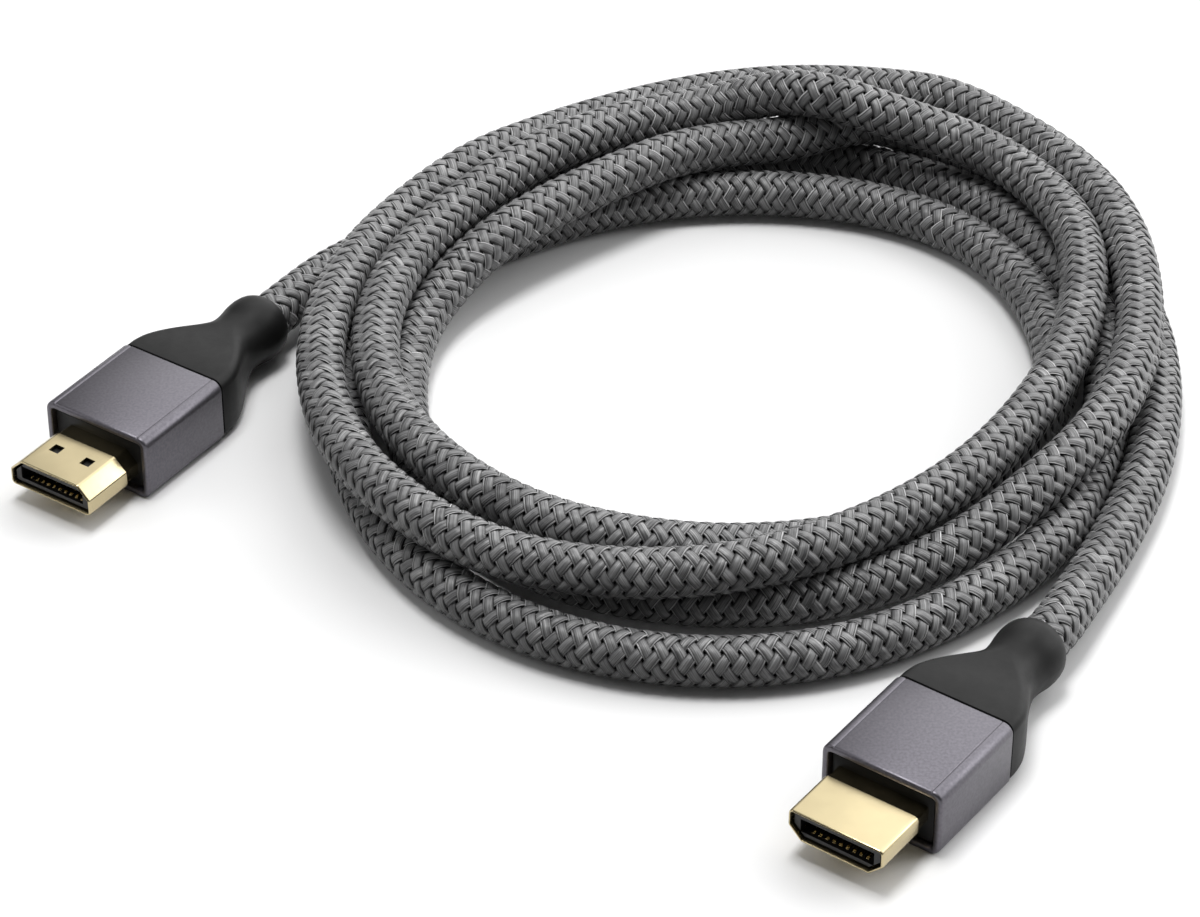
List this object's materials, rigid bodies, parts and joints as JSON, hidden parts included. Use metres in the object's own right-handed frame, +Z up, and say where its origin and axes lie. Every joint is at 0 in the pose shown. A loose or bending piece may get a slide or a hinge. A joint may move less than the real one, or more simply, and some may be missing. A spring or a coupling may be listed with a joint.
{
  "type": "hdmi cable",
  "caption": "Coiled video cable with a braided jacket; each end has a gold D-shaped plug, a grey metal sleeve to grip and a soft black strain relief.",
  "frame": {"origin": "on the floor, under the middle of the box round the two plugs", "axes": "+Z up; the picture's camera looks along +Y with +X to its right; the coil lies beyond the plugs, towards +X and +Y"},
  "size_m": [0.1643, 0.1727, 0.014],
  "materials": {
    "gold_shell": "gold plated, polished sheet metal",
    "gold_contact": "gold plated, bright",
    "black_insulator": "moulded, satin black",
    "grey_sleeve": "anodised, fine satin, warm grey",
    "black_boot": "moulded, soft satin black",
    "braid": "woven nylon, grey and black in a herringbone"
  },
  "bodies": {
    "root": {"plug_a_shell": "gold_shell", "plug_a_insulator": "black_insulator", "plug_a_contact_wide_1": "gold_contact", "plug_a_contact_wide_2": "gold_contact", "plug_a_contact_wide_3": "gold_contact", "plug_a_contact_wide_4": "gold_contact", "plug_a_contact_wide_5": "gold_contact", "plug_a_contact_wide_6": "gold_contact", "plug_a_contact_wide_7": "gold_contact", "plug_a_contact_wide_8": "gold_contact", "plug_a_contact_wide_9": "gold_contact", "plug_a_contact_wide_10": "gold_contact", "plug_a_contact_narrow_1": "gold_contact", "plug_a_contact_narrow_2": "gold_contact", "plug_a_contact_narrow_3": "gold_contact", "plug_a_contact_narrow_4": "gold_contact", "plug_a_contact_narrow_5": "gold_contact", "plug_a_contact_narrow_6": "gold_contact", "plug_a_contact_narrow_7": "gold_contact", "plug_a_contact_narrow_8": "gold_contact", "plug_a_contact_narrow_9": "gold_contact", "plug_a_sleeve": "grey_sleeve", "plug_a_boot": "black_boot", "plug_b_shell": "gold_shell", "plug_b_insulator": "black_insulator", "plug_b_contact_wide_1": "gold_contact", "plug_b_contact_wide_2": "gold_contact", "plug_b_contact_wide_3": "gold_contact", "plug_b_contact_wide_4": "gold_contact", "plug_b_contact_wide_5": "gold_contact", "plug_b_contact_wide_6": "gold_contact", "plug_b_contact_wide_7": "gold_contact", "plug_b_contact_wide_8": "gold_contact", "plug_b_contact_wide_9": "gold_contact", "plug_b_contact_wide_10": "gold_contact", "plug_b_contact_narrow_1": "gold_contact", "plug_b_contact_narrow_2": "gold_contact", "plug_b_contact_narrow_3": "gold_contact", "plug_b_contact_narrow_4": "gold_contact", "plug_b_contact_narrow_5": "gold_contact", "plug_b_contact_narrow_6": "gold_contact", "plug_b_contact_narrow_7": "gold_contact", "plug_b_contact_narrow_8": "gold_contact", "plug_b_contact_narrow_9": "gold_contact", "plug_b_sleeve": "grey_sleeve", "plug_b_boot": "black_boot", "cable_lead_a": "braid", "cable_coil": "braid", "cable_lead_b": "braid"}
  },
  "joints": []
}
